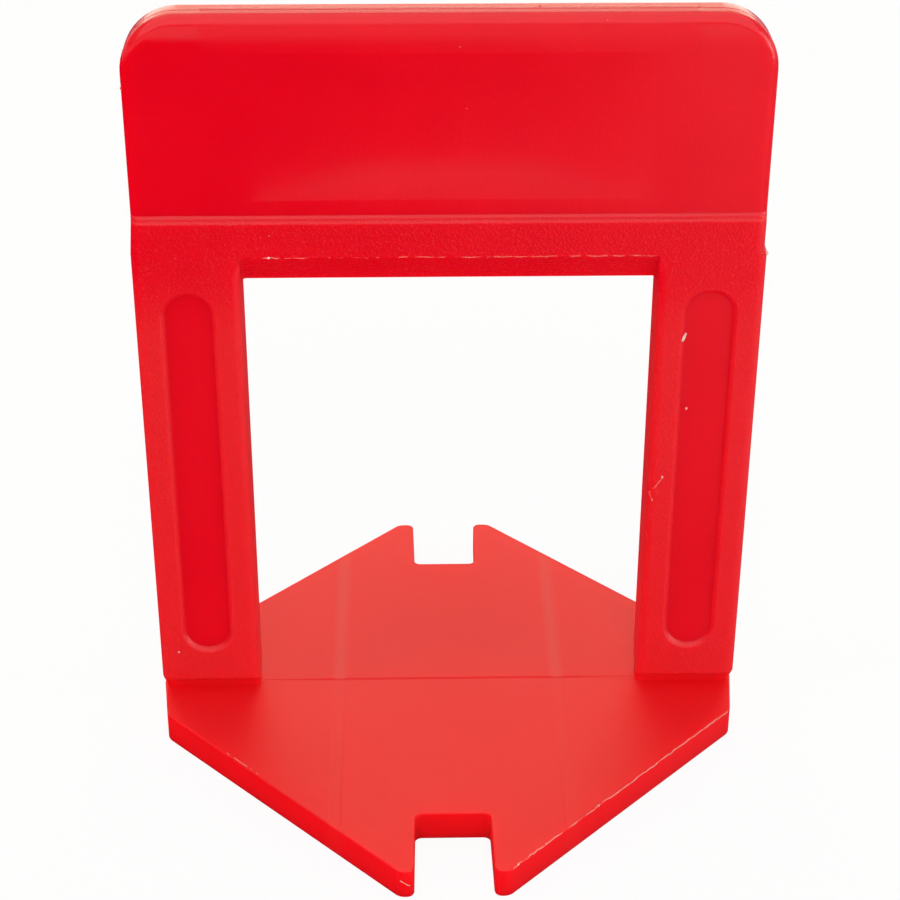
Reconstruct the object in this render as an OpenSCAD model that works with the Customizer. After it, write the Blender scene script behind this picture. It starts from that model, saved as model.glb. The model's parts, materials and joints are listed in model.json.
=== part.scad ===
// Tile levelling clip, moulded in one piece.
// The base plate lies under two neighbouring tiles and the legs stand in the joint between them.
// A wedge is driven through the window, under the beam, and presses the tiles level.
// Origin: middle of the base's underside. X runs along the joint, Y across it, Z is up.

/* [Overall] */
// Width of the clip over its legs and over the middle of its base
clip_width = 36; // [34:0.1:44]
// Depth of the base from prong tip to prong tip
base_depth = 37; // [30:0.1:46]

/* [Base plate] */
// Thickness of the base plate
base_thickness = 1.9; // [1.4:0.1:3]
// How far each shoulder lies in from the middle of the base's side
shoulder_setback = 0.45; // [0.1:0.05:1.5]
// Distance between the front and back shoulders, where the sloping sides start
shoulder_depth = 7.2; // [5:0.1:12]
// Distance over the outsides of a pair of prong tips
prong_span = 6.3; // [5.8:0.1:9]
// Rounding of the shoulders, seen from above
shoulder_radius = 0.8; // [0.2:0.1:2]
// Rounding of the prong tips, seen from above
tip_radius = 0.3; // [0.1:0.05:0.4]
// Broken edge along the top of the base's sides
edge_break = 0.2; // [0.1:0.05:0.4]

/* [Notches] */
// Width of the front notch at its closed end
front_notch_width = 4.4; // [3:0.1:5]
// Width of the back notch at its closed end
back_notch_width = 4.1; // [3:0.1:5]
// How much wider each notch is at its mouth
notch_flare = 0.2; // [0.1:0.1:0.6]
// Length of each notch, from the prong tips to its closed end
notch_depth = 5.1; // [3:0.1:8]
// Rounding of the notch's inner corners
notch_fillet = 0.4; // [0.1:0.1:1.2]

/* [Grooves] */
// Distance between the two shallow grooves in the top of the base
groove_spacing = 13.8; // [8:0.1:20]
// Width of each groove
groove_width = 0.9; // [0.5:0.1:2]
// Depth of each groove
groove_depth = 0.15; // [0.05:0.01:0.3]

/* [Legs] */
// Thickness of the legs and of the beam
stem_thickness = 2.75; // [2.5:0.05:4]
// Rounding of the legs' upright edges
leg_edge_radius = 0.3; // [0.1:0.05:0.6]
// Thickness of the neck where a leg breaks off the base
neck_thickness = 1; // [0.6:0.1:2]
// Height of the neck over the base
neck_height = 0.45; // [0.2:0.05:1]
// Height of the slope from the neck out to the leg's full thickness
neck_slope_height = 0.7; // [0.3:0.05:1.5]

/* [Window and beam] */
// Width of the window for the wedge
window_width = 23.8; // [18:0.1:26]
// Height of the window, from the base to the beam's lower edge
window_height = 28.3; // [28:0.1:36]
// Height of the bevels that meet in the beam's lower edge
beam_bevel_height = 1.85; // [0.5:0.05:3]
// Width of the blunt lower edge of the beam
beam_edge_width = 0.3; // [0.1:0.05:1]
// Height of the beam's flat face over its bevel
beam_face_height = 2; // [1:0.1:5]
// Height of the sloping ledge between the beam and the head panel
ledge_height = 0.5; // [0.2:0.05:1.5]

/* [Head] */
// Height of the head panel over the ledge
head_height = 11.45; // [8:0.05:20]
// Thickness of the head panel
panel_thickness = 2.25; // [1.8:0.05:2.5]
// How far each side of the head lies in from the leg below it
head_inset = 0.15; // [0.05:0.05:0.5]
// Radius of the head's upper corners
head_corner_radius = 3.2; // [1:0.1:6]
// Rounding of the head's edges
head_edge_radius = 0.4; // [0.1:0.05:0.8]

/* [Pockets] */
// Width of each pocket at the leg's face
pocket_width = 2.9; // [1.6:0.1:3.6]
// Length of each pocket at the leg's face
pocket_length = 24.5; // [10:0.1:26]
// Height of each pocket's lower end over the base
pocket_rise = 3.3; // [1.5:0.1:5]
// Depth of each pocket
pocket_depth = 0.45; // [0.2:0.05:0.8]
// How far each pocket's wall slopes in, from the face to the floor
pocket_wall_run = 0.35; // [0.1:0.05:0.7]

/* [Hidden] */

// Straight pieces that a rounded corner of an outline is drawn with
arc_steps = 5;
// How far a cut runs past the face it opens in
overshoot = 0.2;
plastic_red = [0.87, 0.07, 0.05];

clip_half = clip_width / 2;
head_half = clip_half - head_inset;
leg_width = (clip_width - window_width) / 2;
leg_middle = window_width / 2 + leg_width / 2;

neck_top = base_thickness + neck_height;
leg_foot = neck_top + neck_slope_height;
window_top = base_thickness + window_height;
beam_face_low = window_top + beam_bevel_height;
ledge_low = beam_face_low + beam_face_height;
panel_low = ledge_low + ledge_height;
clip_height = panel_low + head_height;

// Direction of a vector, as a vector of length 1
function unit(v) = v / norm(v);

// Arc that rounds the corner at q, between the neighbouring points p and s
function arc_corner(p, q, s, radius) =
    let (
        to_p = unit(p - q),
        to_s = unit(s - q),
        half_angle = acos(to_p * to_s) / 2,
        middle = q + unit(to_p + to_s) * radius / sin(half_angle),
        reach = radius / tan(half_angle),
        from_p = q + to_p * reach - middle,
        from_s = q + to_s * reach - middle,
        start = atan2(from_p.y, from_p.x),
        turn = atan2(from_p.x * from_s.y - from_p.y * from_s.x, from_p * from_s)
    )
    [for (i = [0:arc_steps])
        middle + radius * [cos(start + turn * i / arc_steps), sin(start + turn * i / arc_steps)]];

// Outline whose corners are rounded, each by its own radius, with 0 for a sharp corner
function rounded(points, radii) =
    let (last = len(points) - 1)
    [for (i = [0:last])
        each radii[i] == 0
            ? [points[i]]
            : arc_corner(points[i == 0 ? last : i - 1], points[i], points[i == last ? 0 : i + 1], radii[i])];

// Rectangle around the origin with all four corners rounded
function rounded_rectangle(width, depth, radius) =
    rounded(
        [[-width, -depth] / 2, [width, -depth] / 2, [width, depth] / 2, [-width, depth] / 2],
        [radius, radius, radius, radius]
    );

// Outline of one half of the base, from its right side round the notch to its left side, on +Y
function half_outline(notch_width) =
    let (
        shoulder = [clip_half - shoulder_setback, shoulder_depth / 2],
        tip = [prong_span / 2, base_depth / 2],
        mouth = [(notch_width + notch_flare) / 2, base_depth / 2],
        end = [notch_width / 2, base_depth / 2 - notch_depth],
        flip = function (p) [-p.x, p.y]
    )
    rounded(
        [[clip_half, 0], shoulder, tip, mouth, end,
         flip(end), flip(mouth), flip(tip), flip(shoulder), [-clip_half, 0]],
        [0, shoulder_radius, tip_radius, tip_radius, notch_fillet,
         notch_fillet, tip_radius, tip_radius, shoulder_radius, 0]
    );

// Draws its section, given as Y and Z, along X over the given length, centred
module along_x(length) {
    rotate([90, 0, 90])
        linear_extrude(length, center = true)
            children();
}

// Cut that breaks the top edge of the base between a and b, with the base on the left of that line
module top_edge_cut(a, b) {
    run = norm(b - a) + 2 * base_thickness;
    translate([a.x, a.y, base_thickness])
        rotate(atan2(b.y - a.y, b.x - a.x))
            translate([-base_thickness, edge_break, 0])
                rotate([45, 0, 0])
                    translate([0, -base_thickness, 0])
                        cube([run, 2 * base_thickness, base_thickness]);
}

// Shallow groove along Y with a round bottom
module groove() {
    radius = (pow(groove_width / 2, 2) + pow(groove_depth, 2)) / (2 * groove_depth);
    translate([0, 0, base_thickness - groove_depth + radius])
        rotate([90, 0, 0])
            cylinder(r = radius, h = base_depth, center = true, $fn = 48);
}

// Base plate with its notches, broken edges and grooves
module base_plate() {
    shoulder = [clip_half - shoulder_setback, shoulder_depth / 2];
    difference() {
        union() {
            linear_extrude(base_thickness)
                polygon(half_outline(back_notch_width));
            mirror([0, 1, 0])
                linear_extrude(base_thickness)
                    polygon(half_outline(front_notch_width));
        }
        for (flip_x = [0, 1], flip_y = [0, 1])
            mirror([flip_x, 0, 0])
                mirror([0, flip_y, 0]) {
                    top_edge_cut([clip_half, 0], shoulder);
                    top_edge_cut(shoulder, [prong_span, base_depth] / 2);
                }
        for (side = [-1, 1])
            translate([side * groove_spacing / 2, 0, 0])
                groove();
    }
}

// Long recess with round ends and sloping walls, open towards -Y at y = 0, its lower end at z = 0
module pocket() {
    floor_half = pocket_width / 2 - pocket_wall_run;
    mouth_half = pocket_width / 2 + pocket_wall_run * overshoot / pocket_depth;
    half_section = [[0, pocket_depth], [floor_half, pocket_depth], [mouth_half, -overshoot], [0, -overshoot]];
    straight = pocket_length - pocket_width;
    translate([0, 0, pocket_width / 2]) {
        linear_extrude(straight)
            polygon([
                [-floor_half, pocket_depth], [floor_half, pocket_depth],
                [mouth_half, -overshoot], [-mouth_half, -overshoot]
            ]);
        rotate([-90, 0, 0])
            rotate_extrude(angle = 180, $fn = 64)
                polygon(half_section);
        translate([0, 0, straight])
            rotate([-90, 180, 0])
                rotate_extrude(angle = 180, $fn = 64)
                    polygon(half_section);
    }
}

// One leg around x = 0, from inside the base up to the beam's face, with its neck and both pockets
module leg() {
    half = stem_thickness / 2;
    neck_half = neck_thickness / 2;
    sunk = base_thickness / 2;
    difference() {
        intersection() {
            translate([0, 0, sunk])
                linear_extrude(beam_face_low - sunk)
                    polygon(rounded_rectangle(leg_width, stem_thickness, leg_edge_radius));
            along_x(leg_width)
                polygon([
                    [-neck_half, sunk], [neck_half, sunk], [neck_half, neck_top], [half, leg_foot],
                    [half, beam_face_low], [-half, beam_face_low], [-half, leg_foot], [-neck_half, neck_top]
                ]);
        }
        for (flip = [0, 1])
            mirror([0, flip, 0])
                translate([0, -half, base_thickness + pocket_rise])
                    pocket();
    }
}

// Beam over the window, with bevels that meet in its lower edge and a sloping ledge on top
module beam() {
    half = stem_thickness / 2;
    edge_half = beam_edge_width / 2;
    panel_half = panel_thickness / 2;
    intersection() {
        along_x(2 * head_half)
            polygon([
                [-edge_half, window_top], [edge_half, window_top], [half, beam_face_low], [half, ledge_low],
                [panel_half, panel_low], [-panel_half, panel_low], [-half, ledge_low], [-half, beam_face_low]
            ]);
        translate([0, 0, window_top])
            linear_extrude(panel_low - window_top)
                polygon(rounded_rectangle(2 * head_half, stem_thickness, leg_edge_radius));
    }
}

// Head panel: one rounded edge section, drawn along the sides and the top and turned round the corners
module head() {
    reach = head_corner_radius;
    corner_x = head_half - reach;
    corner_z = clip_height - reach;
    half = panel_thickness / 2;
    edge_section = rounded(
        [[0, -half], [reach, -half], [reach, half], [0, half]],
        [0, head_edge_radius, head_edge_radius, 0]
    );
    translate([-corner_x, -half, ledge_low])
        cube([2 * corner_x, panel_thickness, corner_z - ledge_low]);
    translate([0, 0, corner_z])
        rotate([0, -90, 0])
            linear_extrude(2 * corner_x, center = true)
                polygon(edge_section);
    for (flip = [0, 1])
        mirror([flip, 0, 0])
            translate([corner_x, 0, 0]) {
                translate([0, 0, ledge_low])
                    linear_extrude(corner_z - ledge_low)
                        polygon(edge_section);
                translate([0, 0, corner_z])
                    rotate([90, 0, 0])
                        rotate_extrude(angle = 90, $fn = 64)
                            polygon(edge_section);
            }
}

module levelling_clip() {
    color(plastic_red)
        union() {
            base_plate();
            for (side = [-1, 1])
                translate([side * leg_middle, 0, 0])
                    leg();
            beam();
            head();
        }
}

levelling_clip();
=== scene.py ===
# %% [markdown]
# # A tile levelling clip
# The clip is one moulding in red plastic. A notched base plate lies under two tiles, two legs stand
# in the joint between them, a beam closes the window that a wedge is driven through, and a head
# panel stands on top. The upright part is knocked off when the adhesive has set.
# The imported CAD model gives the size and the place. This lesson models the same clip again, by hand
# and finer: round edges, soft pockets, the mould's joint line, thin flash and small nicks. It then
# gives it a grained plastic finish and photographs it on a pale floor.

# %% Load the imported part
import json
import math
import random

import bmesh
import bpy
from mathutils import Euler, Matrix, Vector

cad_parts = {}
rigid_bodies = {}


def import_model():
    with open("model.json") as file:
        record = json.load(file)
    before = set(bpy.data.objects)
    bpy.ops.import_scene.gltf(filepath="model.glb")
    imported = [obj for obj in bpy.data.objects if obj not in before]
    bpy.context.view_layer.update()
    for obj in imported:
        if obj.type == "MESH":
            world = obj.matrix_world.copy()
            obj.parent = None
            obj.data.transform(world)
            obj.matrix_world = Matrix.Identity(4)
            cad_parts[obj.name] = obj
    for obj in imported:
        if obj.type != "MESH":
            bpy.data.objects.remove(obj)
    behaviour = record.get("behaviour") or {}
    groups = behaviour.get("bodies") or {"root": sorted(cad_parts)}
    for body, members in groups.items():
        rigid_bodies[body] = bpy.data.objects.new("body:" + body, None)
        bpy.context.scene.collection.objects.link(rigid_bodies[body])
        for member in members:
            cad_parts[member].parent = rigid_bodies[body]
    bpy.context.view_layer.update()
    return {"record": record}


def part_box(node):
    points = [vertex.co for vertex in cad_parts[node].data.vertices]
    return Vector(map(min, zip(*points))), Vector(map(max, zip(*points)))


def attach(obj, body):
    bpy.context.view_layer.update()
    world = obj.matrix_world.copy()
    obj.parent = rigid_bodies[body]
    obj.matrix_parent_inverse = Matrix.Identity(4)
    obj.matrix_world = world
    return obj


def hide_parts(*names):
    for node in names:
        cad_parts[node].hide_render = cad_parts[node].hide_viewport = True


bpy.ops.object.select_all(action="SELECT")
bpy.ops.object.delete()
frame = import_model()

# %% [markdown]
# ## Sizes
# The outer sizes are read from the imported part, so they can't drift from it. The smaller ones are
# the part's own drawing sizes. Everything is modelled in millimetres, because Blender's tools
# work better on numbers near one, and the finished clip is scaled down to metres once.

# %% Sizes in millimetres
MM = 0.001
EPS = 0.01
box_low, box_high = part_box("levelling_clip")
clip_width, base_depth, clip_height = ((box_high - box_low) / MM)
mount_places = {m["name"]: m["pos_m"] for m in frame["record"]["mounts"]}
base_thickness = mount_places["front_tile_seat"][2] / MM
window_half = 11.9
stem_half = 1.375
neck_half = 0.5
panel_half = 1.125
head_half = clip_width / 2 - 0.15
neck_top = base_thickness + 0.45
leg_foot = neck_top + 0.7
beam_edge = base_thickness + 28.3
beam_face = beam_edge + 1.85
ledge_low = beam_face + 2.0
panel_low = ledge_low + 0.5
step_top = beam_face + 0.08
print("clip", round(clip_width, 3), "x", round(base_depth, 3), "x", round(clip_height, 3), "mm")

# %% [markdown]
# ## Camera
# The photograph looks down on the clip by 30 degrees with a long lens, almost straight on. The
# place and the lens were worked out from the clip's own corners, so the camera is set first
# and every later step can be looked at from the same spot.

# %% Camera
camera_place = Vector((-2.413, -113.157, 84.025)) * MM
look_down, look_right, tilt = math.radians(29.997), math.radians(1.259), math.radians(0.155)
focal_pixels, image_pixels, sensor_mm = 2179.9, 900, 36
bpy.ops.object.select_all(action="DESELECT")
bpy.ops.object.camera_add(location=camera_place)
camera = bpy.context.object
camera.name = "photo_camera"
aim = Euler((math.pi / 2 - look_down, 0, -look_right)).to_matrix()
camera.rotation_euler = (aim @ Matrix.Rotation(tilt, 3, "Z")).to_euler()
camera.data.sensor_width = sensor_mm
camera.data.lens = focal_pixels / image_pixels * sensor_mm
camera.data.clip_start = 0.01
camera.data.clip_end = 20
bpy.context.scene.camera = camera
print("lens", round(camera.data.lens, 1), "mm")

# %% [markdown]
# ## Base plate
# The base is a flat plate like a stretched hexagon. A cube of its full size is trimmed with a
# bisect along each sloping side, as if sawn. Drawing the outline and extruding it would
# also do, but sawing keeps each side on the line between two known corners.


# %% Start a piece from a cube
def start_cube(name, size, centre):
    """Adds a cube at its size and place, and opens it in edit mode."""
    if bpy.context.mode != "OBJECT":
        bpy.ops.object.mode_set(mode="OBJECT")
    bpy.ops.object.select_all(action="DESELECT")
    bpy.ops.mesh.primitive_cube_add(size=1, location=centre, scale=size)
    bpy.ops.object.transform_apply(location=True, rotation=True, scale=True)
    piece = bpy.context.object
    piece.name = name
    bpy.ops.object.mode_set(mode="EDIT")
    return piece


def saw(point, normal, part="ALL", drop_outside=False):
    """Cuts along a plane, through everything or only what is selected, and may drop the outside."""
    if part == "ALL":
        bpy.ops.mesh.select_all(action="SELECT")
    bpy.ops.mesh.bisect(
        plane_co=point,
        plane_no=Vector(normal).normalized(),
        use_fill=drop_outside,
        clear_outer=drop_outside,
    )


# %% Saw the outline
shoulder_setback, shoulder_half, prong_half = 0.45, 3.6, 3.15
shoulder = Vector((clip_width / 2 - shoulder_setback, shoulder_half, 0))
prong_tip = Vector((prong_half, base_depth / 2, 0))
side_middle = Vector((clip_width / 2, 0, 0))
base = start_cube(
    "base_plate", (clip_width, base_depth, base_thickness), (0, 0, base_thickness / 2)
)
for across in (-1, 1):
    for along in (-1, 1):
        flip = Vector((across, along, 1))
        for start, end in ((side_middle, shoulder), (shoulder, prong_tip)):
            run = (end - start) * flip
            outwards = Vector((abs(run.y) * across, abs(run.x) * along, 0))
            saw(start * flip, outwards, drop_outside=True)
print("base outline:", len(bmesh.from_edit_mesh(base.data).faces), "faces")

# %% [markdown]
# ## Notches
# Each pair of prongs is parted by a notch with slightly flared sides and small round corners. A
# cutter with that shape is modelled once for each end and taken out with a Boolean modifier, which
# keeps the round corners that the cutter got from a bevel.


# %% Select by place, and cut one piece with another
def select_parts(piece, kind, test):
    """Selects the vertices, edges or faces that pass the test, and nothing else."""
    bpy.ops.mesh.select_mode(type=kind)
    bpy.ops.mesh.select_all(action="DESELECT")
    mesh = bmesh.from_edit_mesh(piece.data)
    mesh.normal_update()
    parts = {"VERT": mesh.verts, "EDGE": mesh.edges, "FACE": mesh.faces}[kind]
    chosen = [part for part in parts if test(part)]
    for part in chosen:
        part.select_set(True)
    mesh.select_flush_mode()
    bmesh.update_edit_mesh(piece.data)
    return len(chosen)


def edge_middle(edge):
    return (edge.verts[0].co + edge.verts[1].co) / 2


def runs_along(edge, axis):
    run = edge.verts[1].co - edge.verts[0].co
    return abs(run[axis]) > 0.99 * run.length


def combine(piece, tool, operation):
    """Applies a Boolean of the tool to the piece and removes the tool."""
    if bpy.context.mode != "OBJECT":
        bpy.ops.object.mode_set(mode="OBJECT")
    bpy.ops.object.select_all(action="DESELECT")
    bpy.context.view_layer.objects.active = piece
    piece.select_set(True)
    modifier = piece.modifiers.new("combine", "BOOLEAN")
    modifier.operation = operation
    modifier.solver = "EXACT"
    modifier.material_mode = "TRANSFER"
    modifier.object = tool
    bpy.ops.object.modifier_apply(modifier=modifier.name)
    bpy.data.objects.remove(tool)
    bpy.ops.object.mode_set(mode="EDIT")


# %% Cut the notches
X, Y, Z = 0, 1, 2
front_notch_width, back_notch_width = 4.4, 4.1
notch_depth, notch_flare, notch_fillet = 5.1, 1.05, 0.4
notch_end = base_depth / 2 - notch_depth
past_edge = 1.0
for along, notch_width in ((-1, front_notch_width), (1, back_notch_width)):
    reach = base_depth / 2 + past_edge - notch_end
    cutter = start_cube(
        "notch_cutter",
        (notch_width, reach, 2 * base_thickness),
        (0, along * (notch_end + reach / 2), base_thickness / 2),
    )
    select_parts(cutter, "VERT", lambda v: v.co.y * along > base_depth / 2)
    bpy.ops.transform.resize(value=(notch_flare, 1, 1), center_override=(0, 0, 0))
    select_parts(
        cutter,
        "EDGE",
        lambda e: runs_along(e, Z) and edge_middle(e).y * along < base_depth / 2,
    )
    bpy.ops.mesh.bevel(offset=notch_fillet, segments=6, profile=0.5)
    combine(base, cutter, "DIFFERENCE")
print("with notches:", len(bmesh.from_edit_mesh(base.data).faces), "faces")

# %% [markdown]
# ## Broken edges of the base
# Nothing moulded has a knife edge. The upright corners are rounded first and then the top and
# bottom rims, so that each rim bevel can run round a corner that is already soft.


# %% Round the corners and rims
def near_corner(edge, corner):
    middle = edge_middle(edge)
    gap = Vector((abs(middle.x) - corner.x, abs(middle.y) - corner.y))
    return runs_along(edge, Z) and gap.length < 0.2


def is_rim(edge, facing):
    """True for an edge between a face that looks up or down and an upright one."""
    if len(edge.link_faces) != 2:
        return False
    ups = sorted(face.normal.z * facing for face in edge.link_faces)
    return abs(ups[0]) < 0.3 and ups[1] > 0.9


shoulder_round, tip_round, mouth_round = 0.27, 0.3, 0.42
top_rim_round, bottom_rim_round = 0.09, 0.08
mouth_half = 2.6
select_parts(base, "EDGE", lambda e: near_corner(e, shoulder))
bpy.ops.mesh.bevel(offset=shoulder_round, segments=5, profile=0.5)
select_parts(base, "EDGE", lambda e: near_corner(e, prong_tip))
bpy.ops.mesh.bevel(offset=tip_round, segments=5, profile=0.5)
select_parts(
    base,
    "EDGE",
    lambda e: runs_along(e, Z)
    and abs(edge_middle(e).y) > base_depth / 2 - EPS
    and abs(edge_middle(e).x) < mouth_half,
)
bpy.ops.mesh.bevel(offset=mouth_round, segments=6, profile=0.5)
top_rim = select_parts(base, "EDGE", lambda e: is_rim(e, 1))
bpy.ops.mesh.bevel(offset=top_rim_round, segments=3, profile=0.5)
select_parts(base, "EDGE", lambda e: is_rim(e, -1))
bpy.ops.mesh.bevel(offset=bottom_rim_round, segments=2, profile=0.5)
print("rounded", top_rim, "edges of the top rim")

# %% [markdown]
# ## Grooves and crease in the base
# Two shallow grooves run from front to back where the mould's inserts meet, and a fine crease
# crosses the plate between the legs. The top face is sawn into narrow strips along them and the
# inner lines are lowered a little, each by its own depth.


# %% Lower the lines
def is_top(face):
    return face.normal.z > 0.99 and face.calc_center_median().z > base_thickness - EPS


def on_top(vert):
    return vert.co.z > base_thickness - 0.3


groove_middle = 6.9
groove_half = 0.43
groove_depth = 0.035
groove_steps = ((-1, 0), (-0.84, 0.75), (-0.6, 1), (0.6, 1), (0.84, 0.75), (1, 0))
crease_half = 0.11
crease_depth = 0.18
crease_end = 13.0
for side in (-1, 1):
    for place, _ in groove_steps:
        select_parts(base, "FACE", is_top)
        saw((side * groove_middle + place * groove_half, 0, 0), (1, 0, 0), part="PICKED")
    select_parts(base, "FACE", is_top)
    saw((side * crease_end, 0, 0), (1, 0, 0), part="PICKED")
for offset in (-crease_half, 0, crease_half):
    select_parts(
        base,
        "FACE",
        lambda f: is_top(f) and abs(f.calc_center_median().x) < crease_end,
    )
    saw((0, offset, 0), (0, 1, 0), part="PICKED")
for side in (-1, 1):
    for place, depth in groove_steps:
        line = side * groove_middle + place * groove_half
        select_parts(
            base, "VERT", lambda v: on_top(v) and abs(v.co.x - line) < EPS / 2
        )
        bpy.ops.transform.translate(value=(0, 0, -depth * groove_depth))
crease_points = select_parts(
    base,
    "VERT",
    lambda v: on_top(v) and abs(v.co.y) < EPS and abs(v.co.x) < crease_end - EPS,
)
bpy.ops.transform.translate(value=(0, 0, -crease_depth))
bpy.ops.mesh.select_all(action="SELECT")
bpy.ops.mesh.vert_connect_nonplanar(angle_limit=math.radians(0.1))
print("crease runs through", crease_points, "points")

# %% [markdown]
# ## Legs, beam and head
# Seen from the front, the upright part is a frame of even width with a window in it. It starts as
# one slab. The window is opened in its front and back and the two openings are bridged, which
# gives the window its walls.

# %% Slab with a window
sunk_depth = 0.6
foot_sunk = base_thickness - sunk_depth
stem = start_cube(
    "stem",
    (clip_width, 2 * stem_half, clip_height - foot_sunk),
    (0, 0, (clip_height + foot_sunk) / 2),
)
saw((0, 0, beam_face), (0, 0, 1))
for side in (-1, 1):
    saw((side * window_half, 0, 0), (1, 0, 0))


def in_window(face):
    centre = face.calc_center_median()
    return abs(centre.x) < window_half - EPS and centre.z < beam_face - EPS


select_parts(stem, "FACE", in_window)
bpy.ops.mesh.delete(type="FACE")
open_edges = select_parts(
    stem,
    "EDGE",
    lambda e: e.is_boundary and abs(edge_middle(e).y) > stem_half - EPS,
)
bpy.ops.mesh.bridge_edge_loops()
bpy.ops.mesh.select_all(action="SELECT")
bpy.ops.mesh.normals_make_consistent(inside=False)
print("bridged", open_edges, "edges")

# %% [markdown]
# ## Round edges of the upright part
# The two upper corners of the head are rounded first, with a large radius. Then the outer outline
# gets a soft round edge in front and a smaller one behind.


# %% Bevel the corners and the outline
def is_outline(edge, facing):
    """True for an edge between the front or back and an outer side or the top."""
    middle = edge_middle(edge)
    depths = sorted(abs(face.normal.y) for face in edge.link_faces)
    outer = abs(middle.x) > window_half + 1 or middle.z > beam_face + 1
    buried = middle.z < foot_sunk + EPS
    on_face = middle.y * facing > stem_half - EPS and outer and not buried
    return on_face and depths[0] < 0.3 and depths[1] > 0.9


head_corner_round, front_round, back_round = 3.2, 0.55, 0.2
select_parts(
    stem,
    "EDGE",
    lambda e: runs_along(e, Y)
    and edge_middle(e).z > clip_height - EPS
    and abs(edge_middle(e).x) > window_half + 1,
)
bpy.ops.mesh.bevel(offset=head_corner_round, segments=14, profile=0.5)
for facing, radius in ((-1, front_round), (1, back_round)):
    outline = select_parts(stem, "EDGE", lambda e: is_outline(e, facing))
    bpy.ops.mesh.bevel(offset=radius, segments=6, profile=0.5, clamp_overlap=False)
    print("rounded", outline, "edges of the outline by", radius, "mm")

# %% [markdown]
# The beam's lower side is a blunt edge, like the edge of a cold chisel, that bears on the
# wedge. Its flat underside is sawn into three strips, the middle strip is pulled down, and a small
# bevel breaks its edges.

# %% Pull down the beam's edge
beam_edge_half, beam_edge_break = 0.15, 0.06


def under_beam(face):
    centre = face.calc_center_median()
    return face.normal.z < -0.9 and abs(centre.z - beam_face) < EPS and abs(centre.x) < 1


for side in (-1, 1):
    select_parts(stem, "FACE", under_beam)
    saw((0, side * beam_edge_half, 0), (0, 1, 0), part="PICKED")
select_parts(
    stem,
    "VERT",
    lambda v: abs(v.co.y) < beam_edge_half + EPS
    and abs(v.co.z - beam_face) < EPS
    and abs(v.co.x) < window_half + EPS,
)
bpy.ops.transform.translate(value=(0, 0, beam_edge - beam_face))
broken = select_parts(
    stem,
    "EDGE",
    lambda e: runs_along(e, X)
    and abs(edge_middle(e).z - beam_edge) < EPS
    and abs(edge_middle(e).x) < 1,
)
bpy.ops.mesh.bevel(offset=beam_edge_break, segments=2, profile=0.5)
print("broke", broken, "edges under the beam")

# %% [markdown]
# The edge runs into the legs with a small fillet, because the mould's corners there are not sharp.
# The edge is sawn near its ends and the new points are lowered along a quarter circle.

# %% Fill the window's upper corners
corner_fill = 0.3
corner_steps = 5


def on_beam_edge(face):
    centre = face.calc_center_median()
    return face.normal.z < -0.3 and abs(centre.x) < window_half and centre.z > beam_edge - EPS


for side in (-1, 1):
    for step in range(corner_steps):
        from_leg = corner_fill * (1 - step / corner_steps)
        select_parts(stem, "FACE", on_beam_edge)
        saw((side * (window_half - from_leg), 0, 0), (1, 0, 0), part="PICKED")
    for step in range(1, corner_steps + 1):
        across = corner_fill * step / corner_steps
        drop = corner_fill - math.sqrt(corner_fill**2 - across**2)
        place = side * (window_half - corner_fill + across)
        select_parts(
            stem,
            "VERT",
            lambda v: abs(v.co.x - place) < EPS and abs(v.co.z - beam_edge) < 0.2,
        )
        bpy.ops.transform.translate(value=(0, 0, -drop))
print("beam edge:", len(bmesh.from_edit_mesh(stem.data).faces), "faces")

# %% [markdown]
# The legs' inner edges are soft in front too. A bevel would also eat into the beam where the edges
# meet it, so each leg's front is sawn along its inner edge instead, and the new lines are pushed
# back along a quarter circle. The rounding stops a little below the beam, and the strip that closes
# it off is cut into triangles, because its corners no longer lie in one plane.

# %% Soften the legs' inner edges
inner_round, inner_steps, round_stop = 0.5, 6, 1.3
round_top = beam_face - round_stop
leg_reach = 3


def on_leg_front(face):
    centre = face.calc_center_median()
    beside_window = window_half < abs(centre.x) < window_half + leg_reach
    return face.normal.y < -0.9 and beside_window and centre.z < beam_face - EPS


def on_leg_inside(face):
    centre = face.calc_center_median()
    return abs(face.normal.x) > 0.9 and abs(abs(centre.x) - window_half) < EPS


def above_round(face):
    centre = face.calc_center_median()
    beside_window = window_half - EPS < abs(centre.x) < window_half + leg_reach
    return face.normal.y < -0.1 and beside_window and round_top < centre.z < beam_face


select_parts(stem, "FACE", lambda f: on_leg_front(f) or on_leg_inside(f))
saw((0, 0, round_top), (0, 0, 1), part="PICKED")
for side in (-1, 1):
    turns = [math.pi / 2 * step / inner_steps for step in range(inner_steps + 1)]
    for turn in turns[1:]:
        line = window_half + inner_round * (1 - math.cos(turn))
        select_parts(
            stem,
            "FACE",
            lambda f: on_leg_front(f) and f.calc_center_median().z < round_top,
        )
        saw((side * line, 0, 0), (1, 0, 0), part="PICKED")
    for turn in turns[:-1]:
        line = window_half + inner_round * (1 - math.cos(turn))
        select_parts(
            stem,
            "VERT",
            lambda v: abs(v.co.x - side * line) < EPS / 3
            and v.co.y < EPS - stem_half
            and v.co.z < round_top + EPS,
        )
        bpy.ops.transform.translate(value=(0, inner_round * (1 - math.sin(turn)), 0))
select_parts(stem, "FACE", above_round)
bpy.ops.mesh.quads_convert_to_tris()
print("soft inner edges:", len(bmesh.from_edit_mesh(stem.data).faces), "faces")

# %% [markdown]
# The slab is thinner at the neck, where it breaks off, and at the head. Saw lines all round it
# give rows of points, and each row is drawn in towards the middle. The ledge under the head is
# two soft steps, so its rows follow a wave.

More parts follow.
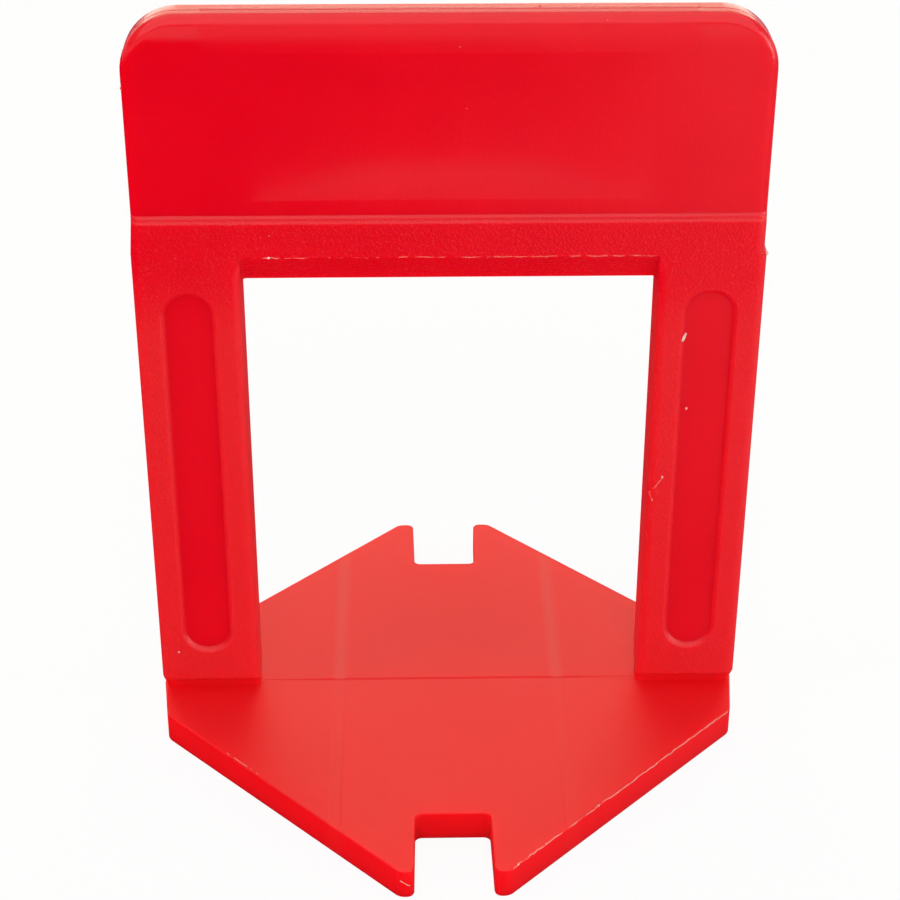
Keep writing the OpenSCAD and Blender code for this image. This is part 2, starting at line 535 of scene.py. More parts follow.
# %% Rows of the neck, the foot and the ledge
rows = [
    (neck_top, neck_half),
    (leg_foot - 0.1, stem_half - 0.125),
    (leg_foot - 0.03, stem_half - 0.05),
    (leg_foot + 0.05, stem_half - 0.01),
    (leg_foot + 0.14, stem_half),
    (step_top, stem_half),
]
ledge_middle = (panel_half + stem_half) / 2
step_height, step_rows = 0.22, 6
for low, thick, thin in (
    (ledge_low, stem_half, ledge_middle),
    (panel_low - step_height, ledge_middle, panel_half),
):
    for row in range(step_rows + 1):
        share = (1 - math.cos(math.pi * row / step_rows)) / 2
        rows.append((low + step_height * row / step_rows, thick + (thin - thick) * share))
for level, _ in rows:
    saw((0, 0, level), (0, 0, 1))
for level, half in rows:
    select_parts(stem, "VERT", lambda v: abs(v.co.z - level) < EPS / 3)
    bpy.ops.transform.resize(value=(1, half / stem_half, 1), center_override=(0, 0, 0))
select_parts(stem, "VERT", lambda v: v.co.z < neck_top - EPS)
bpy.ops.transform.resize(value=(1, neck_half / stem_half, 1), center_override=(0, 0, 0))
select_parts(stem, "VERT", lambda v: v.co.z > panel_low + EPS)
bpy.ops.transform.resize(value=(1, panel_half / stem_half, 1), center_override=(0, 0, 0))
print("rows:", len(rows))

# %% [markdown]
# The head is a little narrower than the legs. On the right the step is at the beam's lower edge
# and on the left it is at the ledge. The foot is drawn in too, where it is sunk in the base.

# %% Narrow the head and the foot
head_share = head_half / (clip_width / 2)
for side, level in ((1, step_top), (-1, ledge_low)):
    select_parts(stem, "VERT", lambda v: v.co.z > level - EPS / 3 and v.co.x * side > EPS)
    bpy.ops.transform.resize(value=(head_share, 1, 1), center_override=(0, 0, 0))
foot_outside, foot_share = 15, 0.97
select_parts(stem, "VERT", lambda v: v.co.z < foot_sunk + EPS and abs(v.co.x) > foot_outside)
bpy.ops.transform.resize(value=(foot_share, 1, 1), center_override=(0, 0, 0))
print("upright part:", len(bmesh.from_edit_mesh(stem.data).faces), "faces")

# %% [markdown]
# The head's front leans back a little towards its top edge, which carries the light of the rim
# down into the face. No one transform leans more the higher it goes, so rows are sawn and each
# point is moved by its own height: along a curve first, then on in a straight line.

# %% Lean the head's front back
lean_low, lean_high = clip_height - 2.03, clip_height - 0.57
lean_depth, lean_rows, lean_front = 0.17, 9, -0.3
for row in range(lean_rows + 1):
    saw((0, 0, lean_low + (lean_high - lean_low) * row / lean_rows), (0, 0, 1))
points = bmesh.from_edit_mesh(stem.data).verts
leaning = [p for p in points if p.co.z > lean_low + EPS and p.co.y < lean_front]
for point in leaning:
    share = (point.co.z - lean_low) / (lean_high - lean_low)
    point.co.y += lean_depth * (share**2 if share < 1 else 2 * share - 1)
bmesh.update_edit_mesh(stem.data)
select_parts(stem, "FACE", lambda f: min(v.co.z for v in f.verts) > lean_low - EPS)
bpy.ops.mesh.quads_convert_to_tris()
print("leaning points:", len(leaning))

# %% [markdown]
# ## Pockets in the legs
# Each leg has a long shallow pocket on both faces, with round ends, sloping walls and soft rims. One
# cutter is modelled with that profile: a bar with round ends whose cap is inset four times,
# a little deeper each time. Four copies are taken out of the legs.

# %% Model the pocket cutter
leg_middle = (window_half + clip_width / 2) / 2
pocket_width, pocket_length, pocket_rise = 2.9, 24.5, 3.3
pocket_flare = 0.25
pocket_profile = ((0.09, 0.03), (0.08, 0.06), (0.15, 0.16), (0.1, 0.05))
cap_gap, end_gap = 0.02, 0.02
bar_width = pocket_width + 2 * pocket_flare
pocket_cutter = start_cube(
    "pocket_cutter",
    (bar_width, 1, pocket_length + 2 * pocket_flare),
    (0, -0.5 - cap_gap, 0),
)
select_parts(pocket_cutter, "EDGE", lambda e: runs_along(e, Y))
bpy.ops.mesh.bevel(offset=bar_width / 2 - end_gap, segments=14, profile=0.5)
select_parts(pocket_cutter, "FACE", lambda f: f.normal.y > 0.99)
for thickness, depth in pocket_profile:
    bpy.ops.mesh.inset(thickness=thickness, depth=depth)
bpy.ops.object.mode_set(mode="OBJECT")
print("pocket cutter:", len(pocket_cutter.data.polygons), "faces")


# %% Cut the four pockets
def copy_of(piece, turn, place):
    """Copies a piece with its own mesh, turned about the upright axis and moved to its place."""
    if bpy.context.mode != "OBJECT":
        bpy.ops.object.mode_set(mode="OBJECT")
    bpy.ops.object.select_all(action="DESELECT")
    bpy.context.view_layer.objects.active = piece
    piece.select_set(True)
    bpy.ops.object.duplicate(linked=False)
    made = bpy.context.object
    bpy.ops.transform.rotate(value=turn, orient_axis="Z", center_override=(0, 0, 0))
    bpy.ops.transform.translate(value=place)
    bpy.ops.object.transform_apply(location=True, rotation=True, scale=True)
    return made


pocket_middle = base_thickness + pocket_rise + pocket_length / 2
for side in (-1, 1):
    for face, turn in ((-1, 0), (1, math.pi)):
        tool = copy_of(
            pocket_cutter, turn, (side * leg_middle, face * stem_half, pocket_middle)
        )
        combine(stem, tool, "DIFFERENCE")
bpy.data.objects.remove(pocket_cutter)
print("legs with pockets:", len(bmesh.from_edit_mesh(stem.data).faces), "faces")

# %% [markdown]
# ## Dished head
# The head's faces are dished: flat in the middle and running out softly to both sides. The cutter
# is a slab with one face swelled along that curve, sawn off at a slant below and above, so the
# dish ends in a lens shape over the ledge.

# %% Dish the front and back of the head
dish_half, dish_flat, dish_depth = 11.2, 3.5, 0.38
dish_low, dish_high = panel_low + 0.85, lean_low - 0.04
low_slant, high_slant = 15.5, 13
dish_cutter = start_cube(
    "dish_cutter",
    (2 * dish_half, 1, dish_high - dish_low),
    (0, -0.5, (dish_low + dish_high) / 2),
)
dish_lines = 32
for line in range(1, dish_lines):
    saw((dish_half * (2 * line / dish_lines - 1), 0, 0), (1, 0, 0))
for line in range(1, dish_lines):
    place = dish_half * (2 * line / dish_lines - 1)
    share = max(0, abs(place) - dish_flat) / (dish_half - dish_flat)
    sag = dish_depth * (1 + math.cos(math.pi * share)) / 2
    select_parts(
        dish_cutter,
        "VERT",
        lambda v: abs(v.co.x - place) < EPS and v.co.y > -EPS,
    )
    bpy.ops.transform.translate(value=(0, sag, 0))
for level, facing, slant_angle in ((dish_low, -1, low_slant), (dish_high, 1, high_slant)):
    turn = math.radians(slant_angle)
    slant = Vector((0, math.cos(turn), facing * math.sin(turn)))
    saw((0, 0, level), slant, drop_outside=True)
bpy.ops.object.mode_set(mode="OBJECT")
for face, turn in ((-1, 0), (1, math.pi)):
    combine(stem, copy_of(dish_cutter, turn, (0, face * panel_half, 0)), "DIFFERENCE")
bpy.data.objects.remove(dish_cutter)
print("dished head:", len(bmesh.from_edit_mesh(stem.data).faces), "faces")

# %% [markdown]
# ## Joint line of the mould
# The two halves of the mould meet near the middle of the head's rim and leave a fine dark line
# there. The rim's faces are sawn in three places and the middle line is pushed in along its own
# normals.


# %% Sink the joint line
def on_head_rim(face):
    centre = face.calc_center_median()
    outside = centre.z > clip_height - EPS or abs(centre.x) > window_half + 2
    return abs(face.normal.y) < 0.05 and centre.z > step_top + EPS and outside


joint_place, joint_half, joint_depth = 0.1, 0.06, 0.08
for offset in (-joint_half, 0, joint_half):
    select_parts(stem, "FACE", on_head_rim)
    saw((0, joint_place + offset, 0), (0, 1, 0), part="PICKED")
joint_points = select_parts(
    stem,
    "VERT",
    lambda v: abs(v.co.y - joint_place) < EPS / 2
    and v.co.z > step_top + EPS
    and (v.co.z > clip_height - 4 or abs(v.co.x) > window_half + 2),
)
bpy.ops.transform.shrink_fatten(value=-joint_depth)
print("joint line:", joint_points, "points")

# %% [markdown]
# ## One moulding
# The legs stand sunk in the base, so a Boolean union makes one closed skin of the two. The clip has
# three finishes: its red skin, the lighter red of thin flash, and the pale pink that the same plastic
# turns where it was stretched or torn. They are named now and get their nodes further down.

# %% Join the base and the upright part
red_plastic = bpy.data.materials.new("red_plastic")
thin_plastic = bpy.data.materials.new("thin_plastic")
torn_plastic = bpy.data.materials.new("torn_plastic")
bpy.ops.object.mode_set(mode="OBJECT")
combine(stem, base, "UNION")
clip = stem
clip.name = "clip"
clip.data.materials.clear()
clip.data.materials.append(red_plastic)
print("one moulding:", len(bmesh.from_edit_mesh(clip.data).faces), "faces")

# %% [markdown]
# ## Flash and torn edges
# Where parts of the mould meet, a thin skin of plastic creeps into the gap and stays on the edge as
# flash. Each run of it is a thin bar, subdivided along its length, whose rings are moved a little
# by a seeded random number. Sunk into the edge and joined, it comes and goes along the edge as real
# flash does.


# %% Lay a strip of flash
ring_gap = 0.3


def flash_strip(start, end, thickness, shake, seed, finish):
    """Makes a wavy bar from start to end and joins it to the clip."""
    start, end = Vector(start), Vector(end)
    run = end - start
    chance = random.Random(seed)
    strip = start_cube("flash", (run.length, thickness, thickness), (0, 0, 0))
    select_parts(strip, "EDGE", lambda e: runs_along(e, X))
    pieces = max(4, round(run.length / ring_gap))
    bpy.ops.mesh.subdivide(number_cuts=pieces - 1)
    for ring in range(pieces + 1):
        along = run.length * (ring / pieces - 0.5)
        select_parts(strip, "VERT", lambda v: abs(v.co.x - along) < EPS)
        grow = chance.uniform(0.6, 1.2)
        bpy.ops.transform.resize(value=(1, grow, grow), center_override=(along, 0, 0))
        away = (0, chance.uniform(-shake, shake), chance.uniform(-shake, shake))
        bpy.ops.transform.translate(value=away)
    bpy.ops.mesh.select_all(action="SELECT")
    bpy.ops.mesh.quads_convert_to_tris()
    strip.data.materials.append(finish)
    bpy.ops.object.mode_set(mode="OBJECT")
    strip.rotation_euler = run.to_track_quat("X", "Z").to_euler()
    strip.location = (start + end) / 2
    bpy.ops.object.transform_apply(location=True, rotation=True, scale=True)
    combine(clip, strip, "UNION")


# %% Flash along the beam and the base
front = -stem_half
rim = base_thickness - 0.03
level = beam_face
flash_strip((-11.6, front + 0.04, level), (2.0, front + 0.04, level), 0.06, 0.035, 1, thin_plastic)
flash_strip((2.1, front + 0.02, level), (11.75, front + 0.02, level), 0.07, 0.03, 2, thin_plastic)
flash_strip((-16.25, front + 0.02, level), (-15.4, front + 0.02, level), 0.05, 0.02, 3, thin_plastic)
flash_strip((3.3, -18.27, rim), (17.36, -3.84, rim), 0.055, 0.035, 4, thin_plastic)
flash_strip((-13.6, -7.47, rim), (-11.6, -9.52, rim), 0.06, 0.03, 6, thin_plastic)
print("with flash:", len(bmesh.from_edit_mesh(clip.data).faces), "faces")

# %% [markdown]
# Handling has left a few torn spots: a nick on the rim of the right pocket, a bent scratch on the
# right leg, a scratch on a prong, a burr at the step on the right and some specks. The lines are
# short strips again. The specks are copies of one lump, a ball that was flattened and shaken.


# %% Nicks, scratches and specks
def speck(place, size, finish):
    """Joins a copy of the lump to the clip, at a place and a width in millimetres."""
    made = copy_of(lump, 0.6 * place[0], (0, 0, 0))
    bpy.ops.transform.resize(value=(size, size, size), center_override=(0, 0, 0))
    bpy.ops.transform.translate(value=place)
    bpy.ops.object.transform_apply(location=True, rotation=True, scale=True)
    made.data.materials[0] = finish
    combine(clip, made, "UNION")


bpy.ops.object.mode_set(mode="OBJECT")
bpy.ops.object.select_all(action="DESELECT")
bpy.ops.mesh.primitive_ico_sphere_add(subdivisions=2, radius=0.5, location=(0, 0, 0))
lump = bpy.context.object
lump.name = "lump"
bpy.ops.object.mode_set(mode="EDIT")
bpy.ops.mesh.select_all(action="SELECT")
bpy.ops.transform.resize(value=(1, 0.6, 0.8), center_override=(0, 0, 0))
bpy.ops.transform.vertex_random(offset=0.12, seed=7)
lump.data.materials.append(torn_plastic)
bpy.ops.object.mode_set(mode="OBJECT")
panel_front = -panel_half
flash_strip((13.42, front, 26.6), (13.62, front, 27.12), 0.12, 0.02, 8, torn_plastic)
bend = (12.35, front, 16.82)
corner = (12.04, front + 0.15, 16.34)
hook = (12.25, front + 0.02, 15.8)
flash_strip((12.74, front, 17.42), bend, 0.045, 0.012, 9, thin_plastic)
flash_strip(bend, corner, 0.045, 0.012, 10, thin_plastic)
flash_strip(corner, hook, 0.045, 0.012, 12, thin_plastic)
end_face = -base_depth / 2
flash_strip((-3.1, end_face, 1.24), (-2.53, end_face, 0.86), 0.06, 0.02, 11, thin_plastic)
for place, size in (
    ((12.74, front, 17.5), 0.18),
    ((13.95, front + 0.24, 22.03), 0.2),
    ((17.96, -1.0, beam_face - 0.06), 0.36),
    ((-10.2, front, beam_face), 0.18),
    ((-10.12, front + 0.02, 33.4), 0.13),
    ((0.53, panel_front + 0.01, 44.29), 0.1),
    ((8.43, panel_front + 0.28, 45.64), 0.14),
    ((0.93, panel_front + 0.375, 40.65), 0.08),
    ((4.87, 0.5, clip_height), 0.16),
    ((13.51, 0.38, clip_height), 0.14),
    ((-17.8, -0.85, 41.96), 0.24),
    ((-16.83, front, 5.09), 0.14),
    ((17.72, -1.05, ledge_low + 0.1), 0.2),
    ((3.62, -17.95, rim + 0.01), 0.15),
    ((5.3, -16.2, rim), 0.13),
    ((8.6, -12.84, rim), 0.13),
    ((12.4, -8.93, rim), 0.1),
):
    speck(place, size, torn_plastic if place[2] < ledge_low - 1 else thin_plastic)
bpy.data.objects.remove(lump)
bpy.ops.object.mode_set(mode="OBJECT")
mesh = bmesh.new()
mesh.from_mesh(clip.data)
loose = [e for e in mesh.edges if len(e.link_faces) != 2]
print(clip.name, len(mesh.faces), "faces,", len(loose), "open edges,", mesh.calc_volume(), "mm3")
mesh.free()

# %% [markdown]
# ## Metres and shading
# The finished clip is scaled to metres about the origin and the scale is applied, so the object
# itself stays unscaled. Faces that meet at a small angle are shaded as one surface. Plain smooth
# shading would make the flat faces look swollen beside their round edges, so weighted normals let
# the large faces decide. The clip then rides on the part's only body and stands for its solid.

# %% Scale to metres and shade
smooth_angle = 32
bpy.ops.object.select_all(action="DESELECT")
clip.select_set(True)
bpy.context.view_layer.objects.active = clip
bpy.ops.transform.resize(value=(MM, MM, MM), center_override=(0, 0, 0))
bpy.ops.object.transform_apply(location=True, rotation=True, scale=True)
bpy.ops.object.shade_smooth_by_angle(angle=math.radians(smooth_angle))
weighting = clip.modifiers.new("even_shading", "WEIGHTED_NORMAL")
weighting.keep_sharp = True
bpy.ops.object.modifier_apply(modifier=weighting.name)
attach(clip, "root")
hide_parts("levelling_clip")
print("finishes:", [m.name for m in clip.data.materials])

# %% [markdown]
# ## Effects for the plastic
# Three effects make the finish, and all three materials share them, so each is a node group. The mould
# was cut by sparks, which leaves a fine pebbled grain. The colour drifts a little where the
# pigment is unevenly mixed. Handling leaves hair-thin scratches in patches.


# %% Node helpers
def node(tree, kind, **settings):
    """Adds a node and sets its properties."""
    made = tree.nodes.new(kind)
    for name, value in settings.items():
        setattr(made, name, value)
    return made


def math_node(tree, operation, first, second):
    """Adds a Math node whose inputs are numbers or other nodes' outputs."""
    made = node(tree, "ShaderNodeMath", operation=operation)
    for socket, value in zip(made.inputs, (first, second)):
        if isinstance(value, (int, float)):
            socket.default_value = value
        else:
            tree.links.new(value, socket)
    return made.outputs[0]


def ramp(tree, value, low, high, start=0.0, end=1.0):
    """Maps a value smoothly from low..high to start..end."""
    made = node(tree, "ShaderNodeMapRange", interpolation_type="SMOOTHSTEP")
    made.inputs["From Min"].default_value = low
    made.inputs["From Max"].default_value = high
    made.inputs["To Min"].default_value = start
    made.inputs["To Max"].default_value = end
    tree.links.new(value, made.inputs["Value"])
    return made.outputs["Result"]


def noise(tree, vector, scale, detail=2.0, roughness=0.5):
    """Adds a noise texture whose scale is a number or another node's output."""
    made = node(tree, "ShaderNodeTexNoise")
    made.inputs["Detail"].default_value = detail
    made.inputs["Roughness"].default_value = roughness
    tree.links.new(vector, made.inputs["Vector"])
    if isinstance(scale, (int, float)):
        made.inputs["Scale"].default_value = scale
    else:
        tree.links.new(scale, made.inputs["Scale"])
    return made.outputs["Fac"]


def start_group(name, outputs):
    """Starts a node group with a place and a scale as inputs and the named numbers as outputs."""
    group = bpy.data.node_groups.new(name, "ShaderNodeTree")
    group.interface.new_socket("Place", in_out="INPUT", socket_type="NodeSocketVector")
    group.interface.new_socket("Scale", in_out="INPUT", socket_type="NodeSocketFloat")
    for output in outputs:
        group.interface.new_socket(output, in_out="OUTPUT", socket_type="NodeSocketFloat")
    inside = group.nodes.new("NodeGroupInput")
    outside = group.nodes.new("NodeGroupOutput")
    return group, inside.outputs["Place"], inside.outputs["Scale"], outside


# %% Spark grain
spark_grain, place, scale, result = start_group("spark_grain", ("Height", "GrainGlints"))
pebbles = noise(spark_grain, place, scale, 1.0, 0.6)
spark_grain.links.new(pebbles, result.inputs["Height"])
# The flecks are painted glints: the grain's highest points are painted lighter.
spark_grain.links.new(ramp(spark_grain, pebbles, 0.56, 0.74), result.inputs["GrainGlints"])
print("spark_grain:", len(spark_grain.nodes), "nodes")

# %% Colour drift
colour_drift, place, scale, result = start_group("colour_drift", ("Drift",))
clouds = noise(colour_drift, place, scale, 2.0, 0.55)
colour_drift.links.new(ramp(colour_drift, clouds, 0.3, 0.7), result.inputs["Drift"])
print("colour_drift:", len(colour_drift.nodes), "nodes")

# %% Handling marks
handling_marks, place, scale, result = start_group("handling_marks", ("Scratches",))
turned = node(handling_marks, "ShaderNodeMapping")
turned.inputs["Rotation"].default_value = (0.5, 0.6, 0.4)
turned.inputs["Scale"].default_value = (1, 30, 30)
handling_marks.links.new(place, turned.inputs["Vector"])
hairs = noise(handling_marks, turned.outputs["Vector"], scale, 0.0, 0.5)
handling_marks.links.new(ramp(handling_marks, hairs, 0.74, 0.82), result.inputs["Scratches"])
print("handling_marks:", len(handling_marks.nodes), "nodes")

# %% [markdown]
# ## Red plastic
# The skin is satin. The head, the pockets and the base came from smoother parts of the mould than the
# legs and the beam, and the head is the shiniest. Painting masks by hand would also do, but zones that
# are worked out from the place on the clip need no picture. In each zone the grain's height, the
# roughness and the colour change. The colour changes are painted light: the legs are painted paler, a
# painted reflection of the bright floor, the base is painted lighter, and the bands over the base's
# grooves and the grain's high flecks are painted sheen and glints. A little light goes into the
# plastic and comes out red beside where it entered, which softens the shadows at the feet.


# %% Zones of the moulding
zone_names = ("Head", "Beam", "LegReflection", "Base", "Pocket", "GrooveSheen")
zones, place, scale, result = start_group("zones", zone_names)
in_mm = node(zones, "ShaderNodeVectorMath", operation="SCALE")
zones.links.new(place, in_mm.inputs["Vector"])
zones.links.new(scale, in_mm.inputs["Scale"])
split = node(zones, "ShaderNodeSeparateXYZ")
zones.links.new(in_mm.outputs["Vector"], split.inputs[0])
across, along, up = split.outputs
above_ledge = ramp(zones, up, ledge_low + 0.2, ledge_low + 0.3)
off_plane = math_node(zones, "ABSOLUTE", along, 0)
off_rim = ramp(zones, off_plane, 0.42, 0.52)
on_head = math_node(zones, "MULTIPLY", above_ledge, off_rim)
on_beam = ramp(zones, up, beam_face - 2, beam_face + 0.5)
on_base = ramp(zones, up, base_thickness + 0.05, neck_top + 0.3, 1, 0)
off_middle = math_node(zones, "ABSOLUTE", across, 0)
off_leg = math_node(zones, "ABSOLUTE", math_node(zones, "SUBTRACT", off_middle, leg_middle), 0)
in_leg = ramp(zones, off_leg, 1.35, 1.65, 1, 0)
sunk = ramp(zones, off_plane, 1.12, 1.32, 1, 0)
above_foot = ramp(zones, up, leg_foot, leg_foot + 1)
in_pocket = math_node(zones, "MULTIPLY", math_node(zones, "MULTIPLY", in_leg, sunk), above_foot)
# Painted reflection: the legs below the beam, outside the pockets and off the base are painted paler,
# as the bright floor's reflection, a little more on the left.
below_beam = ramp(zones, up, beam_face - 5.7, beam_face - 1.2, 1, 0)
reflection_by_side = ramp(zones, across, -window_half, window_half, 1, 0.75)
on_leg = math_node(zones, "MULTIPLY", below_beam, reflection_by_side)
on_leg = math_node(zones, "MULTIPLY", on_leg, ramp(zones, in_pocket, 0, 1, 1, 0.15))
on_leg = math_node(zones, "MULTIPLY", on_leg, ramp(zones, on_base, 0, 1, 1, 0))
# Painted sheen: the bands over the base's grooves are painted lighter, most on the back half.
off_insert = math_node(zones, "ABSOLUTE", math_node(zones, "SUBTRACT", off_middle, groove_middle), 0)
band = ramp(zones, off_insert, 0.12, 0.62, 1, 0)
behind = ramp(zones, along, -0.3, 0.3, 0.15, 1)
groove_sheen = math_node(zones, "MULTIPLY", math_node(zones, "MULTIPLY", band, behind), on_base)
found = (on_head, on_beam, on_leg, on_base, in_pocket, groove_sheen)
for value, socket in zip(found, result.inputs):
    zones.links.new(value, socket)
print("zones:", len(zones.nodes), "nodes")


# %% Red, thin and torn plastic
def use_group(tree, group, place, scale):
    """Places a node group in a material and gives its outputs."""
    made = node(tree, "ShaderNodeGroup", node_tree=group)
    made.inputs["Scale"].default_value = scale
    tree.links.new(place, made.inputs["Place"])
    return made.outputs


def weighted_sum(tree, start, terms):
    """Adds values times their weights to a starting number."""
    total = start
    for value, weight in terms:
        total = math_node(tree, "ADD", math_node(tree, "MULTIPLY", value, weight), total)
    return total


def blend(tree, share, first, second):
    """Mixes two colours, given as numbers or as another node's output."""
    made = node(tree, "ShaderNodeMix", data_type="RGBA", clamp_factor=True)
    tree.links.new(share, made.inputs["Factor"])
    for name, colour in (("A", first), ("B", second)):
        if isinstance(colour, tuple):
            made.inputs[name].default_value = (*colour, 1)
        else:
            tree.links.new(colour, made.inputs[name])
    return made.outputs["Result"]


grain_scale, drift_scale, marks_scale = 7500, 130, 150
grain_height = 0.00005
satin_roughness = 0.48


def plastic_nodes(material, deep, pale, leg, base, glint_and_sheen_colour):
    """Builds the finish: a colour that drifts from deep to pale, a painted reflection colour on the
    legs, a painted light colour on the base, and a colour for painted glints and sheen.
    """
    material.use_nodes = True
    tree = material.node_tree
    shader = tree.nodes["Principled BSDF"]
    place = node(tree, "ShaderNodeTexCoord").outputs["Object"]
    zone = use_group(tree, zones, place, 1 / MM)
    grain = use_group(tree, spark_grain, place, grain_scale)
    drift = use_group(tree, colour_drift, place, drift_scale)["Drift"]
    marks = use_group(tree, handling_marks, place, marks_scale)["Scratches"]
    smooth = math_node(tree, "MAXIMUM", zone["Head"], zone["Pocket"])
    smooth = math_node(tree, "MAXIMUM", smooth, zone["Base"])
    grained = weighted_sum(tree, 1.0, ((smooth, -0.85),))
    bump = node(tree, "ShaderNodeBump")
    bump.inputs["Strength"].default_value = 1.0
    bump.inputs["Distance"].default_value = grain_height
    height = math_node(tree, "MULTIPLY", grain["Height"], grained)
    tree.links.new(height, bump.inputs["Height"])
    tree.links.new(bump.outputs["Normal"], shader.inputs["Normal"])
    tint = weighted_sum(tree, 0.0, ((drift, 0.6), (marks, 0.4)))
    # Painted glints on the grain's high points and painted sheen over the grooves, in the fleck
    # colour.
    lights = math_node(tree, "MULTIPLY", grain["GrainGlints"], grained)
    lights = weighted_sum(tree, 0.0, ((lights, 0.5), (zone["GrooveSheen"], 1.0)))
    colour = blend(tree, tint, deep, pale)
    # Painted reflection: the legs are painted paler.
    colour = blend(tree, zone["LegReflection"], colour, leg)
    # Painted light: the base is painted lighter and paler than the red skin.
    colour = blend(tree, zone["Base"], colour, base)
    colour = blend(tree, lights, colour, glint_and_sheen_colour)
    tree.links.new(colour, shader.inputs["Base Color"])
    shine = ((zone["Beam"], -0.14), (zone["Head"], -0.14), (zone["Pocket"], -0.18))
    rough = weighted_sum(tree, satin_roughness, (*shine, (drift, 0.03), (marks, 0.03)))
    tree.links.new(rough, shader.inputs["Roughness"])
    shader.inputs["IOR"].default_value = 1.4
    shader.inputs["Subsurface Weight"].default_value = 1.0
    shader.inputs["Subsurface Radius"].default_value = (1.0, 0.2, 0.15)
    shader.inputs["Subsurface Scale"].default_value = 0.0012
    return len(tree.nodes)


# In each finish the legs' colour is a painted reflection, the base's colour is painted light, and the
# fleck colour is painted glints and sheen.
finishes = {
    red_plastic: {
        "deep": (0.74, 0.0002, 0.0115),
        "pale": (0.78, 0.0022, 0.0135),
        "leg": (0.75, 0.0135, 0.021),
        "base": (0.84, 0.004, 0.009),
        "glint_and_sheen_colour": (0.82, 0.03, 0.03),
    },
    thin_plastic: {
        "deep": (0.8, 0.06, 0.05),
        "pale": (0.84, 0.2, 0.17),
        "leg": (0.84, 0.2, 0.17),
        "base": (0.84, 0.22, 0.19),
        "glint_and_sheen_colour": (0.86, 0.3, 0.26),
    },
    torn_plastic: {
        "deep": (0.84, 0.42, 0.37),
        "pale": (0.88, 0.66, 0.6),
        "leg": (0.88, 0.6, 0.54),
        "base": (0.88, 0.6, 0.54),
        "glint_and_sheen_colour": (0.9, 0.7, 0.65),
    },
}
for material, colours in finishes.items():
    print(material.name, plastic_nodes(material, **colours), "nodes")

# %% [markdown]
# ## Floor
# The clip stands on a pale floor that runs out of the picture and turns up into low walls far away,
# which close the view from the sides. A plain white material would go grey away from the lamps, so
# the floor also glows for the camera and in reflections, and its matt share keeps the clip's soft
# shadow. It lies a hair below the clip, so that no two faces coincide.

# %% Floor
floor_size, floor_drop, glow_share = 6, 0.00004, 0.93
bpy.ops.object.select_all(action="DESELECT")
bpy.ops.mesh.primitive_plane_add(size=floor_size, location=(0, 0, -floor_drop))
bpy.ops.object.transform_apply(location=True, rotation=True, scale=True)
floor = bpy.context.object
floor.name = "floor"
wall_height = 0.9
bpy.ops.object.mode_set(mode="EDIT")
select_parts(floor, "EDGE", lambda e: e.is_boundary)
bpy.ops.mesh.extrude_edges_move(TRANSFORM_OT_translate={"value": (0, 0, wall_height)})
bpy.ops.object.mode_set(mode="OBJECT")
pale_floor = bpy.data.materials.new("pale_floor")
pale_floor.use_nodes = True
tree = pale_floor.node_tree
tree.nodes.remove(tree.nodes["Principled BSDF"])
matt = node(tree, "ShaderNodeBsdfDiffuse")
matt.inputs["Color"].default_value = (0.92, 0.92, 0.92, 1)
glow = node(tree, "ShaderNodeEmission")
path = node(tree, "ShaderNodeLightPath").outputs
seen = math_node(tree, "MAXIMUM", path["Is Camera Ray"], path["Is Glossy Ray"])
seen = math_node(tree, "MAXIMUM", seen, path["Is Transmission Ray"])
share = math_node(tree, "MULTIPLY", seen, glow_share)
mix = node(tree, "ShaderNodeMixShader")
tree.links.new(share, mix.inputs["Fac"])
tree.links.new(matt.outputs[0], mix.inputs[1])
tree.links.new(glow.outputs[0], mix.inputs[2])
tree.links.new(mix.outputs[0], tree.nodes["Material Output"].inputs["Surface"])
floor.data.materials.append(pale_floor)
print("floor", [round(v, 2) for v in floor.dimensions], "m")

# %% [markdown]
# ## Grey card
# A grey card lies on the floor in front, as in a studio, to keep the floor's white glare out of the
# red. It glows, and its glow is painted light: lighter to the right, because the light comes from
# there, and darker towards the clip as a painted shadow of the clip on the floor. Only reflections see
# it.

# %% Grey card
card_drop, card_middle, card_width, card_depth = 0.00002, -0.065, 0.8, 0.21
bpy.ops.object.select_all(action="DESELECT")
bpy.ops.mesh.primitive_plane_add(
    size=1, location=(0, card_middle, -card_drop), scale=(card_width, card_depth, 1)
)
bpy.ops.object.transform_apply(location=True, rotation=True, scale=True)
card = bpy.context.object
card.name = "grey_card"
card.visible_camera = False
card.visible_diffuse = False
card.visible_transmission = False
card.visible_shadow = False
grey_card = bpy.data.materials.new("grey_card")
grey_card.use_nodes = True
tree = grey_card.node_tree
tree.nodes.remove(tree.nodes["Principled BSDF"])
glow = node(tree, "ShaderNodeEmission")
split = node(tree, "ShaderNodeSeparateXYZ")
tree.links.new(node(tree, "ShaderNodeTexCoord").outputs["Object"], split.inputs[0])
# Painted light: the glow is stronger to the right; painted shade: it is weaker near the clip.
painted_light_right = ramp(tree, split.outputs["X"], -0.014, 0.055, 0.03, 0.68)
painted_shade_near_clip = ramp(tree, split.outputs["Y"], -0.075, -0.02, 1, 0.4)
tree.links.new(math_node(tree, "MULTIPLY", painted_light_right, painted_shade_near_clip), glow.inputs["Strength"])
tree.links.new(glow.outputs[0], tree.nodes["Material Output"].inputs["Surface"])
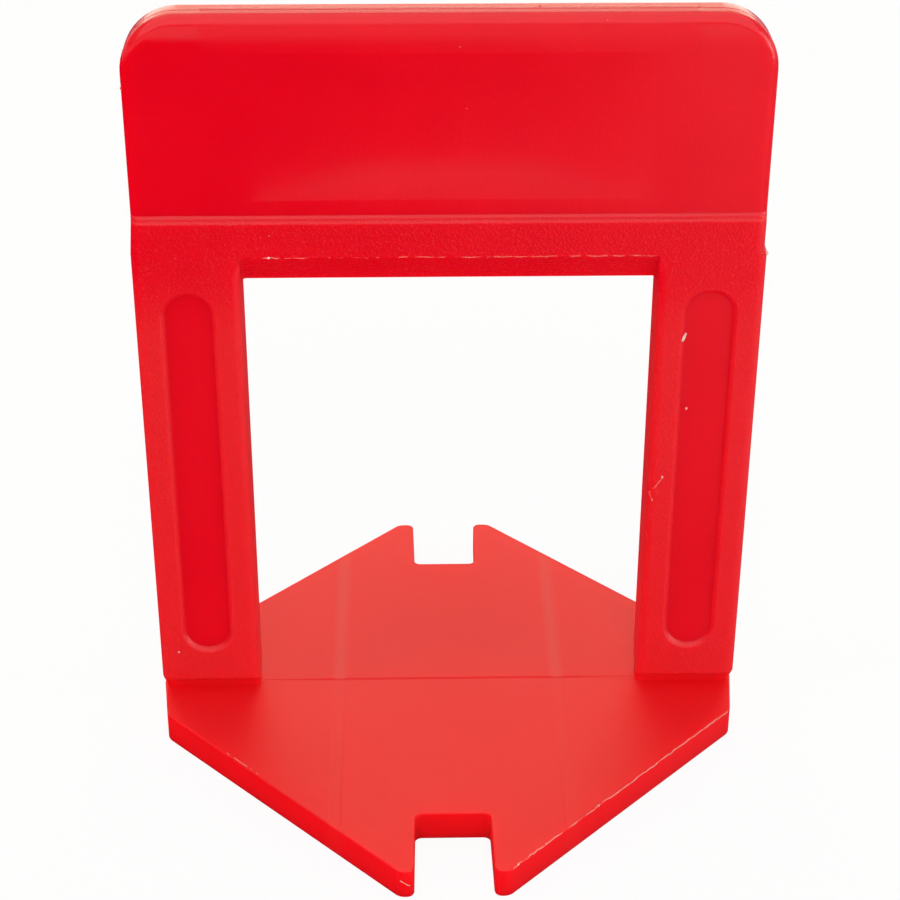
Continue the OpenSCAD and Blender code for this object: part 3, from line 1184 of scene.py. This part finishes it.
card.data.materials.append(grey_card)
print("grey card", [round(v, 2) for v in card.dimensions], "m")

# %% [markdown]
# ## Light
# The light is that of a plain studio: a dim, slightly warm world and soft square lamps. A large warm
# lamp behind stands for a lit wall that the base reflects, and a large one above gives the rims their
# shine. The fills light the plastic without showing as bright patches in its gloss, so reflections
# don't see them. On the right, a lamp that only reflections see and a small key brighten the gloss.

# %% World
world = bpy.data.worlds.new("studio")
bpy.context.scene.world = world
world.use_nodes = True
world.node_tree.nodes["Background"].inputs["Color"].default_value = (1, 0.98, 0.95, 1)
world.node_tree.nodes["Background"].inputs["Strength"].default_value = 0.37
bpy.context.scene.view_settings.view_transform = "Standard"
print("world:", world.name)


# %% Lamps
def lamp(name, place, size, watts, colour=(1, 1, 1), glossy=True, diffuse=True):
    """Adds a square area lamp aimed at the clip, and sets which rays see it."""
    bpy.ops.object.select_all(action="DESELECT")
    bpy.ops.object.light_add(type="AREA", location=place)
    made = bpy.context.object
    made.name = name
    made.data.size = size
    made.data.energy = watts
    made.data.color = colour
    made.visible_glossy = glossy
    made.visible_diffuse = diffuse
    aim = Vector((0, 0, 0.02)) - Vector(place)
    made.rotation_euler = aim.to_track_quat("-Z", "Y").to_euler()


lamp("back_wall", (0.0, 0.7, 0.42), 0.9, 3.2, (1, 0.96, 0.66))
lamp("top_sky", (0.0, -0.2, 0.6), 1.3, 7.0, diffuse=False)
lamp("top_fill", (0.0, 0.0, 0.65), 0.5, 0.5, glossy=False)
lamp("front_fill", (0.0, -0.45, 0.5), 0.25, 1.1, glossy=False)
lamp("left_fill", (-0.5, -0.15, 0.16), 0.25, 0.75, glossy=False)
lamp("front_low", (0.0, -0.5, 0.03), 0.25, 0.6, glossy=False)
lamp("right_fill", (0.5, -0.15, 0.16), 0.25, 0.42, glossy=False)
lamp("right_card", (0.45, -0.2, 0.14), 0.3, 1.0, diffuse=False)
lamp("right_key", (0.5, -0.25, 0.06), 0.12, 0.3)
print("lamps:", len(bpy.data.lights))
